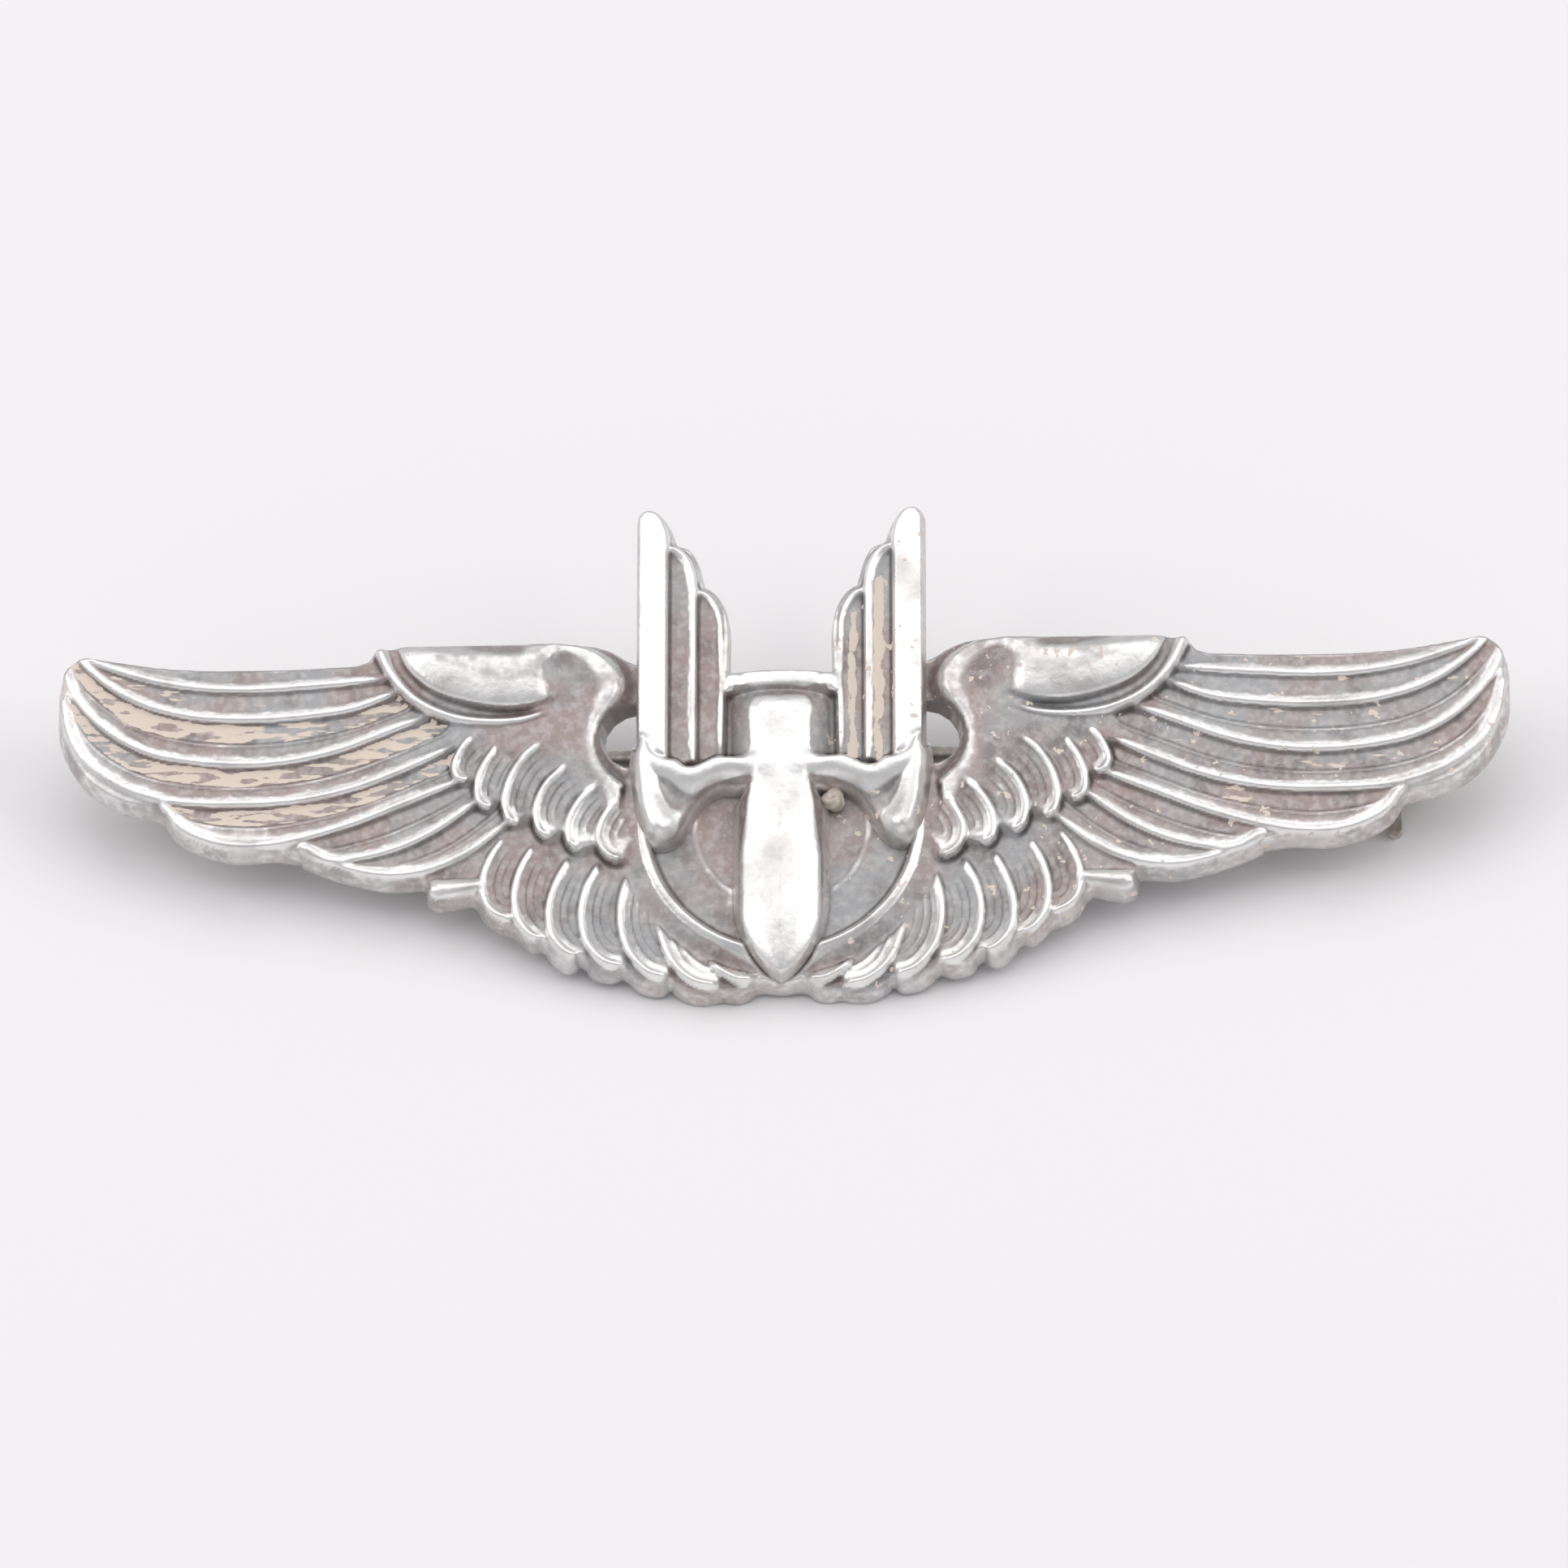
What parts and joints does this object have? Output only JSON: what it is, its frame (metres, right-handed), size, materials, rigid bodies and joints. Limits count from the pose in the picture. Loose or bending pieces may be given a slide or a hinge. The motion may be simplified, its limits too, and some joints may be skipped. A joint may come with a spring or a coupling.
{
  "type": "aerial gunner wings badge",
  "caption": "Struck metal wings badge with a central ring and a soldered winged bullet, worn on a hinged back pin with a turning safety catch.",
  "frame": {"origin": "middle of the bounding box's base: the badge lies face up on its findings, the lowest point of the catch at z = 0", "axes": "+Z out of the badge's face, X along the wing span with the hinge at -X and the catch at +X, +Y up on the badge as worn"},
  "size_m": [0.0762, 0.0268, 0.0075],
  "materials": {
    "struck_silver": "struck sterling silver, polished on the high spots and tarnished grey-brown in the recesses",
    "device_silver": "struck sterling silver, brightly worn, with dark recesses",
    "solder": "dull silver solder",
    "finding_silver": "stamped silver findings, lightly tarnished",
    "pin_wire": "drawn nickel silver wire, satin"
  },
  "bodies": {
    "badge": {"wing_plate": "struck_silver", "winged_bullet": "device_silver", "device_solder": "solder", "hinge_patch": "finding_silver", "hinge_bracket": "finding_silver", "hinge_rivet": "finding_silver", "catch_patch": "finding_silver", "catch_body": "finding_silver", "hinge_solder": "solder", "catch_solder": "solder"},
    "pin": {"pin_stem": "pin_wire"},
    "rotor": {"catch_rotor": "finding_silver"}
  },
  "joints": [
    {"name": "pin_swing", "type": "hinge", "parent": "badge", "child": "pin", "pos_m": [-0.032, 0.0013, 0.00176], "axis": [0, 1, 0], "range_deg": [0, 85]},
    {"name": "catch_turn", "type": "hinge", "parent": "badge", "child": "rotor", "pos_m": [0.032, 0.0013, 0.00176], "axis": [1, 0, 0], "range_deg": [0, 85]}
  ]
}
